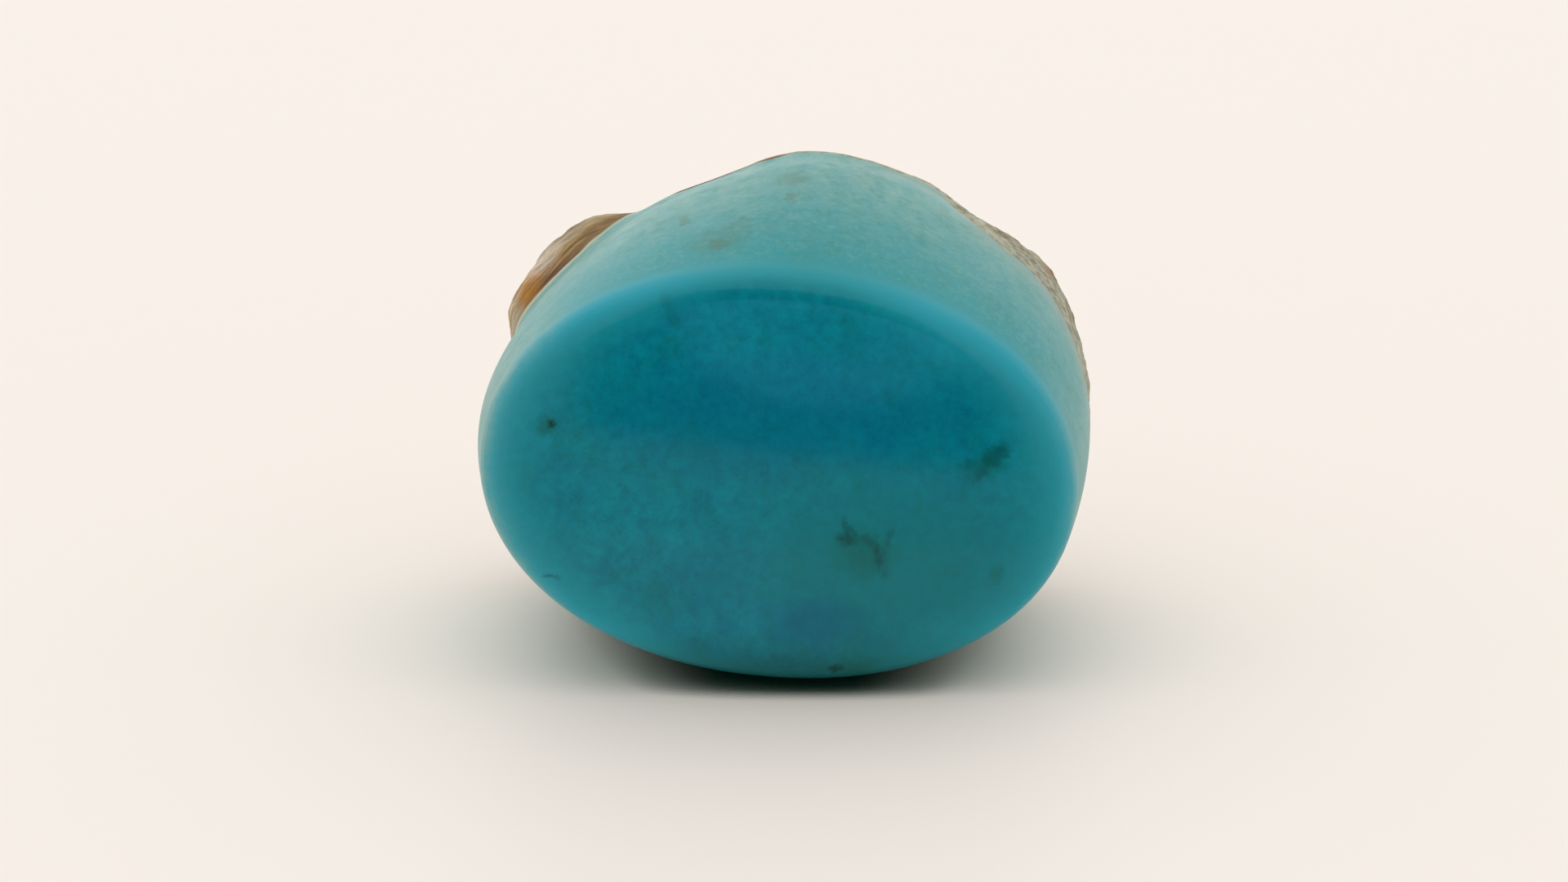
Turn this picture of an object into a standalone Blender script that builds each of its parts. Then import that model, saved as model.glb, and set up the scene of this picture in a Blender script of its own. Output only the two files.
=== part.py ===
"""A turquoise nugget: one natural lump, ground to a low oval dome in front and left in its brown rind behind.

The model is in metres, with +Z up. The dome faces -Y and leans back, and the lump rests on a small ground flat.
The sizes below are measured from the point of the table under the dome's lower edge, and the finished stone is
then centred over the origin. Directions round it are angles seen from the front, with 0 to the right and 90
degrees up.
"""

import math

import bmesh
import bpy
from mathutils import Vector, noise

# Driving sizes, in metres and degrees.
FACE_WIDTH = 0.0237  # the polished oval, along its long axis
FACE_HEIGHT = 0.0161  # the same oval, across
FACE_FULLNESS = 2.08  # the exponent of its outline, where 2 is an ellipse
FACE_ROLL = -6.0  # the oval's long axis drops to the right
FACE_LEAN = 12.5  # the face leans back from upright
FACE_CROWN = 0.0008  # the rise of its low dome
FACE_LIFT = 0.0006  # how far its lower edge hangs clear of the table
RIM_ROUND = 0.0010  # the rounded edge between the dome and the walls
WALL_DEPTH = 0.0130  # from the face's lower edge to the end of the walls
WALL_BOW = 0.0003  # how far the walls swell between their ends
BACK_DEPTH = 0.0176  # from the face's lower edge to the middle of the back
SHOULDER_REACH = 0.0032  # how far the back carries on in line with the walls before it turns in
BACK_FLATNESS = 0.62  # the share of the back's radius that is nearly flat

# The outline of the stone where the walls end: its middle, and its radius in each direction.
REAR_SIDE = 0.0003
REAR_MIDDLE = 0.0078
REAR_RADII = {
    0: 0.0123,
    25: 0.0123,
    45: 0.0113,
    65: 0.01085,
    85: 0.0107,
    105: 0.0101,
    125: 0.0102,
    145: 0.0106,
    160: 0.0112,
    180: 0.0120,
    205: 0.0113,
    230: 0.0099,
    270: 0.0084,
    310: 0.0098,
    335: 0.0114,
}

# Swellings and hollows of the surface: the ends of each one's crest, how far it spreads, and its height.
SWELLINGS = {
    "rind knob at the upper left": ((-0.0078, 0.0152, 0.0144), (-0.0102, 0.0152, 0.0118), 0.0027, 0.00175),
    "notch over the right shoulder": ((0.0082, 0.0140, 0.0160), (0.0086, 0.0155, 0.0156), 0.0022, -0.0003),
    "rind knob at the lower left": ((-0.0092, 0.0165, 0.0052), (-0.0075, 0.0165, 0.0030), 0.0035, 0.0010),
    "lump on the back, high": ((0.0015, 0.0180, 0.0130), (0.0050, 0.0175, 0.0120), 0.0055, 0.0012),
    "lump on the back, left": ((-0.0050, 0.0180, 0.0065), (-0.0030, 0.0180, 0.0050), 0.0050, 0.0010),
    "hollow across the back": ((-0.0040, 0.0175, 0.0115), (0.0055, 0.0175, 0.0060), 0.0040, -0.0009),
}

# The rind: where it starts, and the relief of its surface.
RIND_START = 0.0136
RIND_START_WANDER = 0.0010  # how far its edge wanders forwards and back
RIND_START_WAVES = 2.2  # and how often, round the stone
CREASE_WIDTH = 0.0007  # the crease where turquoise meets rind
CREASE_DEPTH = 0.00020
RELIEF_FADE = 0.0035  # how far past its edge the rind's relief grows to its full height
NODULE_SIZE = 0.0036
NODULE_HEIGHT = 0.0006
PIT_SIZE = 0.0020
PIT_DEPTH = 0.00025
BACK_SWELL_SIZE = 0.0075
BACK_SWELL_HEIGHT = 0.0007

# The grid of the surface: a box cut into squares, which is then drawn out into the stone.
SIDE_CUTS = 26  # across the front and the back, so four times as many go round
RIM_ROWS = 5
WALL_ROWS = 11
SHOULDER_ROWS = 12
SHOULDER_SHARE = 0.45  # the share of the back's curve that the shoulder rows cover
SHARP_ANGLE = 35.0  # edges that fold more than this, in degrees, stay crisp

LEAN = math.radians(FACE_LEAN)
FACE_UP = Vector((0, math.sin(LEAN), math.cos(LEAN)))
FACE_OUT = Vector((0, -math.cos(LEAN), math.sin(LEAN)))
FACE_CENTRE = FACE_UP * (FACE_HEIGHT / 2) + Vector((0, 0, FACE_LIFT))
STONE_CORE = Vector((0, BACK_DEPTH / 2, REAR_MIDDLE))
REAR_CENTRE = Vector((REAR_SIDE, WALL_DEPTH, REAR_MIDDLE))
BACK_CENTRE = Vector((REAR_SIDE, BACK_DEPTH, REAR_MIDDLE))


def blend(a, b, share):
    return a + (b - a) * share


def smooth_step(low, high, value):
    share = min(1.0, max(0.0, (value - low) / (high - low)))
    return share * share * (3 - 2 * share)


def face_radius(turn):
    """The radius of the polished oval in the direction turn, in radians."""
    along = turn - math.radians(FACE_ROLL)
    across = abs(math.cos(along)) / (FACE_WIDTH / 2)
    up = abs(math.sin(along)) / (FACE_HEIGHT / 2)
    return (across**FACE_FULLNESS + up**FACE_FULLNESS) ** (-1 / FACE_FULLNESS)


def rear_radius(turn):
    """The radius of the rear outline, on a smooth curve through the listed ones."""
    directions = list(REAR_RADII)
    count = len(directions)
    degrees = math.degrees(turn) % 360
    after = next((i for i, direction in enumerate(directions) if direction > degrees), count)
    steps = [after - 2, after - 1, after, after + 1]
    at = [directions[i % count] + 360 * (i // count) for i in steps]
    radii = [REAR_RADII[directions[i % count]] for i in steps]
    slope_before = (radii[2] - radii[0]) / (at[2] - at[0])
    slope_after = (radii[3] - radii[1]) / (at[3] - at[1])
    gap = at[2] - at[1]
    share = (degrees - at[1]) / gap
    lift = share * (1 - share) * gap * (slope_before * (1 - share) - slope_after * share)
    return blend(radii[1], radii[2], smooth_step(0, 1, share)) + lift


def face_point(turn, share):
    """A point of the low dome, from its middle at share 0 to the oval's edge at share 1."""
    outwards = Vector((math.cos(turn), 0, 0)) + FACE_UP * math.sin(turn)
    rise = FACE_CROWN * (1 - share * share)
    return FACE_CENTRE + outwards * (face_radius(turn) * share) + FACE_OUT * rise


def wall_end(turn):
    """The point where the wall ends and the back turns in."""
    return REAR_CENTRE + Vector((math.cos(turn), 0, math.sin(turn))) * rear_radius(turn)


def rim_start(turn):
    """The share of the face's radius where its edge starts to round over."""
    return 1 - RIM_ROUND / face_radius(turn)


def rim_point(turn, share):
    corner = face_point(turn, 1)
    start = face_point(turn, rim_start(turn))
    end = corner + (wall_end(turn) - corner).normalized() * RIM_ROUND
    return blend(blend(start, corner, share), blend(corner, end, share), share)


def wall_point(turn, share):
    outwards = Vector((math.cos(turn), 0, math.sin(turn)))
    swell = outwards * (WALL_BOW * math.sin(math.pi * share))
    return blend(rim_point(turn, 1), wall_end(turn), share) + swell


def back_point(turn, share):
    """A point of the back, on a curve that leaves the wall in line with it and meets the axis squarely."""
    start = wall_end(turn)
    along = (start - rim_point(turn, 1)).normalized()
    flat = BACK_CENTRE + (start - REAR_CENTRE) * BACK_FLATNESS
    points = [start, start + along * SHOULDER_REACH, flat, BACK_CENTRE]
    while len(points) > 1:
        points = [blend(a, b, share) for a, b in zip(points, points[1:])]
    return points[0]


def swelling(point):
    """How far the named swellings raise the surface at a point."""
    height = 0.0
    for start, end, spread, rise in SWELLINGS.values():
        crest = Vector(end) - Vector(start)
        along = min(1.0, max(0.0, (point - Vector(start)).dot(crest) / crest.length_squared))
        off_crest = (point - Vector(start) - crest * along).length
        height += rise * (1 - smooth_step(0, spread, off_crest))
    return height


def rind_start(turn):
    """The depth where turquoise gives way to rind in that direction."""
    around = Vector((math.cos(turn), math.sin(turn), 0.0)) * RIND_START_WAVES
    return RIND_START + RIND_START_WANDER * noise.noise(around)


def rind_relief(point, turn):
    """The height of the rind's nodules and pits, and of the crease at its edge."""
    past_edge = point.y - rind_start(turn)
    to_nodules = noise.voronoi(point / NODULE_SIZE)[0]
    nodules = NODULE_HEIGHT * (0.5 - to_nodules[0] * to_nodules[0])
    pits = -PIT_DEPTH * smooth_step(0.15, 0.6, noise.noise(point / PIT_SIZE))
    swells = BACK_SWELL_HEIGHT * noise.noise(point / BACK_SWELL_SIZE)
    crease = -CREASE_DEPTH * math.exp(-((past_edge / CREASE_WIDTH) ** 2))
    return (nodules + pits + swells) * smooth_step(0, RELIEF_FADE, past_edge) + crease


def raised(point, turn):
    """The point moved out from the stone's core by the swellings and the rind."""
    return point + (point - STONE_CORE).normalized() * (swelling(point) + rind_relief(point, turn))


def stone_point(across, row, up):
    """The stone's surface at a point of the box's grid, where across and up run from -1 to 1."""
    disc_x = across * math.sqrt(1 - up * up / 2)
    disc_y = up * math.sqrt(1 - across * across / 2)
    turn = math.atan2(disc_y, disc_x)
    reach = math.hypot(disc_x, disc_y)
    if row == 0:
        return face_point(turn, rim_start(turn) * reach)
    if row <= RIM_ROWS:
        return rim_point(turn, row / RIM_ROWS)
    row -= RIM_ROWS
    if row <= WALL_ROWS:
        return raised(wall_point(turn, row / WALL_ROWS), turn)
    row -= WALL_ROWS
    share = SHOULDER_SHARE * row / SHOULDER_ROWS + (1 - SHOULDER_SHARE) * (1 - reach)
    return raised(back_point(turn, share), turn)


def gridded_box(bm, rows):
    """A cube from -1 to 1 with its faces cut into squares, SIDE_CUTS across and rows from front to back."""
    bmesh.ops.create_cube(bm, size=2)
    for count, runs_back in ((SIDE_CUTS, False), (rows, True)):
        edges = [e for e in bm.edges if (abs(e.verts[0].co.y - e.verts[1].co.y) > 1) == runs_back]
        bmesh.ops.subdivide_edges(bm, edges=edges, cuts=count - 1, use_grid_fill=True)


def grind_flat(bm):
    """Cuts the stone level with the table, and closes the cut."""
    everything = bm.verts[:] + bm.edges[:] + bm.faces[:]
    bmesh.ops.bisect_plane(bm, geom=everything, plane_co=(0, 0, 0), plane_no=(0, 0, -1), clear_outer=True)
    bmesh.ops.holes_fill(bm, edges=[e for e in bm.edges if e.is_boundary])


def centre_on_table(bm):
    """Moves the stone so that the middle of its box is over the origin."""
    for axis in (0, 1):
        places = [vert.co[axis] for vert in bm.verts]
        middle = (min(places) + max(places)) / 2
        for vert in bm.verts:
            vert.co[axis] -= middle


def turquoise():
    """The stone's own material: a green-blue with a soft polish."""
    material = bpy.data.materials.new("turquoise")
    material.use_nodes = True
    shader = material.node_tree.nodes["Principled BSDF"]
    shader.inputs["Base Color"].default_value = (0.03, 0.25, 0.31, 1.0)
    shader.inputs["Roughness"].default_value = 0.3
    return material


def main():
    for old in list(bpy.data.objects):
        bpy.data.objects.remove(old)
    bm = bmesh.new()
    rows = RIM_ROWS + WALL_ROWS + SHOULDER_ROWS
    gridded_box(bm, rows)
    for vert in bm.verts:
        across, back, up = vert.co
        vert.co = stone_point(across, round((back + 1) / 2 * rows), up)
    grind_flat(bm)
    centre_on_table(bm)
    mesh = bpy.data.meshes.new("turquoise_nugget")
    bm.to_mesh(mesh)
    bm.free()
    mesh.materials.append(turquoise())
    mesh.shade_smooth()
    mesh.set_sharp_from_angle(angle=math.radians(SHARP_ANGLE))
    collection = bpy.data.collections.new("turquoise nugget")
    bpy.context.scene.collection.children.link(collection)
    collection.objects.link(bpy.data.objects.new("turquoise_nugget", mesh))


main()
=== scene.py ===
# %% [markdown]
# # A turquoise nugget, ground in front and raw behind
#
# The stone is one lump. Its front was ground to a low oval dome and polished, its sides were ground to a
# plain satin, and its back was left in the brown iron-stained rind that it came out of the rock with. The
# solid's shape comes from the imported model. This script gives it a finer surface, its colours and its
# polish, and sets it on a pale table in soft light.

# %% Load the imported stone

import math

import bpy
import numpy as np
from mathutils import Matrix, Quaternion, Vector


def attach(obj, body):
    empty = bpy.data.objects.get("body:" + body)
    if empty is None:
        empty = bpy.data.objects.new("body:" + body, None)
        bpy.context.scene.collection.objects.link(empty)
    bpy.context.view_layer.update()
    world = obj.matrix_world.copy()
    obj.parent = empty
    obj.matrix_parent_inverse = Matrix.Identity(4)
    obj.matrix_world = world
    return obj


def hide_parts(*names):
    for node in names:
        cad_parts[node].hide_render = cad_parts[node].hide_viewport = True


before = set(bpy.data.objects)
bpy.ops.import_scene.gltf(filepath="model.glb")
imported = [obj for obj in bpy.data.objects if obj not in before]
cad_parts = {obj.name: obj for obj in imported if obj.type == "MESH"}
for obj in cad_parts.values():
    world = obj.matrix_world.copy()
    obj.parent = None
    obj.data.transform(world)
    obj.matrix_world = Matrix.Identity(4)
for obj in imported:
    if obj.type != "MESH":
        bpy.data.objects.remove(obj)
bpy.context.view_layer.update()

STONE_NODE = "turquoise_nugget"

# %% [markdown]
# ## Units, colours and nodes
#
# Lengths are in metres, because that is what the frame uses, so a millimetre gets a name. The stone's
# material works in millimetres, which suit its markings. Colours are written as they look on a screen and
# turned to the linear values that a renderer adds up. Every shader node is added by one small function,
# which also joins it to the nodes before it. It could be done with a line for each setting and each link,
# but the file would be three times as long.

# %% Helpers

MM = 0.001
# A Mix node for colours takes them in its sockets 6 and 7 and gives the result in its socket 2.
COLOUR_MIX = {"give": 2, "data_type": "RGBA"}


def linear(hex_colour):
    """An sRGB hex colour as the linear RGBA that shader sockets take."""
    channels = [int(hex_colour[i : i + 2], 16) / 255 for i in (1, 3, 5)]
    return tuple(c / 12.92 if c <= 0.04045 else ((c + 0.055) / 1.055) ** 2.4 for c in channels) + (1.0,)


def add_node(tree, kind, inputs=None, give=0, **settings):
    """Adds a node with its settings and returns the output to use. An input is a value or a socket."""
    node = tree.nodes.new(kind)
    for name, value in settings.items():
        setattr(node, name, value)
    for socket, value in (inputs or {}).items():
        if isinstance(value, bpy.types.NodeSocket):
            tree.links.new(value, node.inputs[socket])
        else:
            node.inputs[socket].default_value = value
    return node.outputs[give] if node.outputs else None


def ends(side, span):
    """A Map Range node's two inputs on its From or To side, for a pair of values."""
    return {side + " Min": span[0], side + " Max": span[1]}


print("#808080 is", round(linear("#808080")[0], 3), "in linear light")

# %% [markdown]
# ## The camera
#
# The photograph was taken from a little above, looking straight at the dome, with a long lens from close
# by. The dome leans back 12.5 degrees and its middle is a known point of the stone, so the camera is
# placed from there. The dome's middle isn't in the middle of the picture. A lens shift would bring it
# there, but here the camera moves sideways and up by the difference and keeps its direction.

# %% Place the camera

DOME_LEAN = math.radians(12.5)
DOME_MIDDLE = Vector((-0.29, -7.49, 8.46)) * MM
CAMERA_ELEVATION = math.radians(18)
CAMERA_DISTANCE = 300 * MM
SENSOR_WIDTH = 36.0  # mm, as the camera's settings have it
NEAREST_SHOWN = 10 * MM
FARTHEST_SHOWN = 10.0
PIXELS_PER_MM = 31.06  # the photograph's scale at the dome
PHOTO_WIDTH = 1920
DOME_RIGHT_OF_CENTRE = -7  # pixels, in the photograph
DOME_BELOW_CENTRE = 47

towards_camera = Vector((0, -math.cos(CAMERA_ELEVATION), math.sin(CAMERA_ELEVATION)))
camera_up = Vector((0, math.sin(CAMERA_ELEVATION), math.cos(CAMERA_ELEVATION)))
aside = Vector((-DOME_RIGHT_OF_CENTRE, 0, 0)) * (MM / PIXELS_PER_MM)
above = camera_up * (DOME_BELOW_CENTRE * MM / PIXELS_PER_MM)

bpy.ops.object.camera_add(location=DOME_MIDDLE + towards_camera * CAMERA_DISTANCE + aside + above)
camera = bpy.context.object
camera.name = "camera"
camera.rotation_euler = (-towards_camera).to_track_quat("-Z", "Y").to_euler()
camera.data.sensor_width = SENSOR_WIDTH
camera.data.lens = PIXELS_PER_MM / MM * CAMERA_DISTANCE / PHOTO_WIDTH * SENSOR_WIDTH
camera.data.clip_start = NEAREST_SHOWN
camera.data.clip_end = FARTHEST_SHOWN
bpy.context.scene.camera = camera
bpy.context.scene.view_settings.view_transform = "Standard"  # shows colours as they are written
print("lens", round(camera.data.lens, 1), "mm")

# %% [markdown]
# ## The table
#
# The stone stands on a matt, warm white card. Right where the two meet, a contact shadow is painted on
# the card in deep green. That line is a fraction of a millimetre wide, so the card's own material paints
# it, from how near the stone is, which an Ambient Occlusion node tells it.

# %% The card's material

CARD_WHITE = "#f6ede4"
CARD_ROUGHNESS = 0.5
CARD_GLOSS = 0.16
CONTACT_SHADE_GREEN = "#1b4f40"
CONTACT_REACH = 1.7 * MM
CONTACT_RAYS = 4
CONTACT_OPEN = (0.3, 0.75)  # the share of open sky where the green is full and where it ends
CONTACT_ENDS = (2.5 * MM, 8.0 * MM)  # to either side of the stone's middle, over which it fades
CONTACT_FADES_TO_WHITE = 0.85


def white_card():
    """Matt coated card: warm white, a faint wide sheen, and a painted deep green shadow where the stone
    stands.
    """
    material = bpy.data.materials.new("matt white card")
    material.use_nodes = True
    tree = material.node_tree
    shader = tree.nodes["Principled BSDF"]
    place = add_node(tree, "ShaderNodeTexCoord", give="Object")
    across = add_node(tree, "ShaderNodeSeparateXYZ", {0: place}, give="X")
    across = add_node(tree, "ShaderNodeMath", {0: across}, operation="ABSOLUTE")
    at_ends = add_node(
        tree,
        "ShaderNodeMapRange",
        {"Value": across, **ends("From", CONTACT_ENDS), "To Max": CONTACT_FADES_TO_WHITE},
        interpolation_type="SMOOTHSTEP",
    )
    # the painted contact shadow: the less open sky the node finds near the stone, the greener the card
    open_card = add_node(
        tree, "ShaderNodeAmbientOcclusion", {"Distance": CONTACT_REACH}, give="AO", samples=CONTACT_RAYS
    )
    open_card = add_node(tree, "ShaderNodeMapRange", {"Value": open_card, **ends("From", CONTACT_OPEN)})
    open_card = add_node(tree, "ShaderNodeMath", {0: open_card, 1: at_ends}, operation="MAXIMUM")
    colours = {6: linear(CONTACT_SHADE_GREEN), 7: linear(CARD_WHITE)}
    colour = add_node(tree, "ShaderNodeMix", {0: open_card, **colours}, **COLOUR_MIX)
    tree.links.new(colour, shader.inputs["Base Color"])
    shader.inputs["Roughness"].default_value = CARD_ROUGHNESS
    shader.inputs["Specular IOR Level"].default_value = CARD_GLOSS
    return material


print("the green line reaches", CONTACT_REACH / MM, "mm from the stone at most")

# %% Lay the card

TABLE_SIZE = 3.0

bpy.ops.mesh.primitive_plane_add(size=TABLE_SIZE)
table = bpy.context.object
table.name = "table"
table.data.materials.append(white_card())
print("table", TABLE_SIZE, "m across")

# %% [markdown]
# ## The light
#
# The stone lies inside a tent of white cloth that is lit from behind, above and a little from the left.
# The tent is bright there and dim in front, and the soft shadow falls towards the camera. The tent is the
# world's colour, which changes evenly from front to back, and one broad softbox hangs overhead. A tent
# built of planes would give the same light, with more noise and more to hide from the camera.

# %% Tent

FULL_SWING = (-1.0, 1.0)  # what the dot product of two directions, or a sine, goes between
TENT_GLOW = (0.58, 1.27)  # straight in front and straight behind
TENT_WHITE = "#ffffff"
BRIGHTEST = Vector((-0.16, 1, 0)).normalized()

world = bpy.data.worlds.new("white tent")
world.use_nodes = True
tent_tree = world.node_tree
towards = add_node(tent_tree, "ShaderNodeTexCoord", give="Generated")
backwards = add_node(
    tent_tree, "ShaderNodeVectorMath", {0: towards, 1: BRIGHTEST}, give="Value", operation="DOT_PRODUCT"
)
glow = add_node(
    tent_tree, "ShaderNodeMapRange", {"Value": backwards, **ends("From", FULL_SWING), **ends("To", TENT_GLOW)}
)
tent = tent_tree.nodes["Background"]
tent.inputs["Color"].default_value = linear(TENT_WHITE)
tent_tree.links.new(glow, tent.inputs["Strength"])
bpy.context.scene.world = world
print("the tent is", round(TENT_GLOW[1] / TENT_GLOW[0], 1), "times as bright behind as in front")

# %% Softbox

OVERHEAD_SIZE = 1.4
OVERHEAD_PLACE = (0, 0.45, 0.95)
OVERHEAD_POWER = 1.6

bpy.ops.object.light_add(type="AREA", location=OVERHEAD_PLACE)
overhead = bpy.context.object
overhead.name = "overhead softbox"
overhead.data.shape = "SQUARE"
overhead.data.size = OVERHEAD_SIZE
overhead.data.energy = OVERHEAD_POWER
overhead.rotation_euler = (-overhead.location).to_track_quat("-Z", "Y").to_euler()
print("softbox", OVERHEAD_SIZE, "m across,", round(overhead.location.length, 2), "m from the stone")

# %% [markdown]
# ## The dark gap that the dome reflects
#
# A polished dome shows what is in front of it. Here that is the opening of the tent, which the camera looks
# through: a dark rectangle with the lens in it. The dome shows the lens as a faint pale oval with rings,
# which are the edges of its glasses. It could be painted on the stone, but then it would stay there when
# the view turns. So the gap is a card of its own, seen in reflections alone, which neither gets in the
# camera's way nor dims the stone.

# %% The lens's rings

LENS_RADIUS = 0.062
LENS_EDGE = (0.8 * LENS_RADIUS, LENS_RADIUS)
PUPIL_EDGE = (0.1 * LENS_RADIUS, 0.7 * LENS_RADIUS)
PUPIL_DIMS_TO = 0.25
RINGS_PER_METRE = 40
RINGS_DIM_TO = 0.7


def lens_rings(tree, from_lens):
    """How bright the glass is: rings round a dim middle, and nothing outside the lens."""
    rings = add_node(
        tree, "ShaderNodeMath", {0: from_lens, 1: math.tau * RINGS_PER_METRE}, operation="MULTIPLY"
    )
    rings = add_node(tree, "ShaderNodeMath", {0: rings}, operation="SINE")
    rings = add_node(
        tree, "ShaderNodeMapRange", {"Value": rings, **ends("From", FULL_SWING), "To Min": RINGS_DIM_TO}
    )
    round_the_pupil = add_node(
        tree,
        "ShaderNodeMapRange",
        {"Value": from_lens, **ends("From", PUPIL_EDGE), "To Min": PUPIL_DIMS_TO},
        interpolation_type="SMOOTHSTEP",
    )
    rings = add_node(tree, "ShaderNodeMath", {0: rings, 1: round_the_pupil}, operation="MULTIPLY")
    inside = add_node(
        tree,
        "ShaderNodeMapRange",
        {"Value": from_lens, **ends("From", LENS_EDGE), **ends("To", (1.0, 0.0))},
        interpolation_type="SMOOTHSTEP",
    )
    return add_node(tree, "ShaderNodeMath", {0: rings, 1: inside}, operation="MULTIPLY")


print("lens", LENS_RADIUS * 2000, "mm across")

# %% The cloth with the lens in it

COATING_BLUE = "#6fcdff"
LENS_GLOW = 2.2
LENS_PLACE = (0.004, -0.052, 0)  # from the gap's middle, in metres


def dark_cloth():
    """Unlit cloth and coated glass: black, with a lens in it that shows as faint blue rings."""
    material = bpy.data.materials.new("black cloth and coated glass")
    material.use_nodes = True
    tree = material.node_tree
    tree.nodes.clear()
    place = add_node(tree, "ShaderNodeTexCoord", give="Object")
    from_lens = add_node(
        tree, "ShaderNodeVectorMath", {0: place, 1: LENS_PLACE}, give="Value", operation="DISTANCE"
    )
    glass = lens_rings(tree, from_lens)
    strength = add_node(tree, "ShaderNodeMapRange", {"Value": glass, "To Max": LENS_GLOW})
    glow = add_node(tree, "ShaderNodeEmission", {"Color": linear(COATING_BLUE), "Strength": strength})
    add_node(tree, "ShaderNodeOutputMaterial", {"Surface": glow})
    return material


print("the lens's coating is", COATING_BLUE)

# %% Hang the gap in front of the stone

GAP_DISTANCE = 0.36  # metres from the stone
GAP_WIDTH = 0.183
GAP_HEIGHT = 0.30
GAP_RIGHT = 0.008
GAP_LOWER_EDGE_ELEVATION = math.radians(11.0)
GAP_TILT = math.radians(-6)

to_lower_edge = Vector((0, -math.cos(GAP_LOWER_EDGE_ELEVATION), math.sin(GAP_LOWER_EDGE_ELEVATION)))
facing = towards_camera.to_track_quat("Z", "Y") @ Quaternion((0, 0, 1), GAP_TILT)
half_way_up = facing @ Vector((0, GAP_HEIGHT / 2, 0))

bpy.ops.mesh.primitive_plane_add(size=1)
gap = bpy.context.object
gap.name = "dark gap in the walls"
gap.dimensions = (GAP_WIDTH, GAP_HEIGHT, 0)
bpy.ops.object.transform_apply(location=False, rotation=False, scale=True)
gap.rotation_euler = facing.to_euler()
gap.location = to_lower_edge * GAP_DISTANCE + Vector((GAP_RIGHT, 0, 0)) + half_way_up
gap.data.materials.append(dark_cloth())
gap.visible_camera = False
gap.visible_diffuse = False
gap.visible_shadow = False
print("the gap's middle, in mm:", [round(c * 1000) for c in gap.location])

# %% [markdown]
# ## The stone's surface
#
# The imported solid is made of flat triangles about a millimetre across, which is coarse for a polished
# stone. A copy of it is welded, its triangles are paired back into the four-sided faces they were cut
# from, and a subdivision surface rounds them twice over. A voxel remesh would also give a fine mesh, but
# its small steps would show in the reflections on the dome. The edge of the flat that the stone stands on
# is creased, so that it stays where it is.

# %% Copy and weld the stone

WELD_DISTANCE = 0.002 * MM
QUAD_ANGLE = math.radians(60)


def select_only(obj):
    bpy.ops.object.select_all(action="DESELECT")
    obj.select_set(True)
    bpy.context.view_layer.objects.active = obj


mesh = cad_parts[STONE_NODE].data.copy()
stone = bpy.data.objects.new("nugget", mesh)
bpy.context.scene.collection.objects.link(stone)
select_only(stone)

bpy.ops.object.mode_set(mode="EDIT")
bpy.ops.mesh.select_all(action="SELECT")
bpy.ops.mesh.remove_doubles(threshold=WELD_DISTANCE)
bpy.ops.mesh.customdata_custom_splitnormals_clear()
bpy.ops.mesh.tris_convert_to_quads(face_threshold=QUAD_ANGLE, shape_threshold=QUAD_ANGLE)
bpy.ops.mesh.mark_sharp(clear=True)
bpy.ops.object.mode_set(mode="OBJECT")
quads = sum(len(p.vertices) == 4 for p in mesh.polygons)
print(len(mesh.vertices), "points,", quads, "quads of", len(mesh.polygons))

# %% Crease the flat that it stands on, and round the rest

STRAIGHT_DOWN = -0.999  # the z of a normal, at most
ON_THE_TABLE = 0.01 * MM
ROUNDINGS = 2

flat_faces = {p.index for p in mesh.polygons if p.normal.z < STRAIGHT_DOWN and p.center.z < ON_THE_TABLE}
uses = {}
for polygon in mesh.polygons:
    for key in polygon.edge_keys:
        uses.setdefault(key, []).append(polygon.index in flat_faces)
crease = mesh.attributes.new("crease_edge", "FLOAT", "EDGE")
for edge in mesh.edges:
    crease.data[edge.index].value = 1.0 if any(uses[edge.key]) and not all(uses[edge.key]) else 0.0

rounding = stone.modifiers.new("rounding", "SUBSURF")
rounding.levels = ROUNDINGS
rounding.render_levels = ROUNDINGS
bpy.ops.object.modifier_apply(modifier=rounding.name)
bpy.ops.object.shade_smooth()
print("refined to", len(stone.data.polygons), "faces; ground flat of", len(flat_faces), "faces")

# %% [markdown]
# ## Where the finishes lie
#
# The rind is what the grinding left. Its edge runs round the stone where the sides turn over into the
# back, a little further forward on the right. Each point of the mesh gets a few numbers: how far it is
# past that edge, how far behind the dome's rim, how chalky its turquoise is, with the sheen painted on the
# flanks, and how much light is painted on at the rim. The relief and the colours both read them, so they
# always agree. A texture painted by hand could hold the same, but it would be tied to one image.

# %% How far each point is past the rind's edge

DOME_EDGE_Y = -9.23  # the dome's lower edge, in mm
RIND_AXIS_HEIGHT = 7.8  # the height of the axis that the rind's edge runs round
RIND_DEPTHS = {
    # degrees from the right, seen from the front, and how many mm behind the dome's lower edge it starts
    0: 9.4,
    12: 9.4,
    20: 10.1,
    28: 10.8,
    40: 11.4,
    44: 11.8,
    49: 12.8,
    54: 14.0,
    75: 14.0,
    92: 13.95,
    113: 13.95,
    129: 14.4,
    136: 13.55,
    142: 13.2,
    153: 13.4,
    165: 13.65,
    185: 13.6,
    230: 13.0,
    270: 13.4,
    320: 12.6,
    345: 11.0,
}


def per_point(data, name):
    """One vector for each point of the stone, as the rows of an array."""
    values = np.zeros(len(data) * 3)
    data.foreach_get(name, values)
    return values.reshape(-1, 3)


points = per_point(stone.data.vertices, "co") / MM
direction = np.degrees(np.arctan2(points[:, 2] - RIND_AXIS_HEIGHT, points[:, 0])) % 360
places = list(RIND_DEPTHS) + [360]
depths = list(RIND_DEPTHS.values()) + [RIND_DEPTHS[0]]
past_edge = points[:, 1] - DOME_EDGE_Y - np.interp(direction, places, depths)
print("points in the rind:", int((past_edge > 0).sum()), "of", len(past_edge))

# %% How far each point is behind the dome

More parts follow.
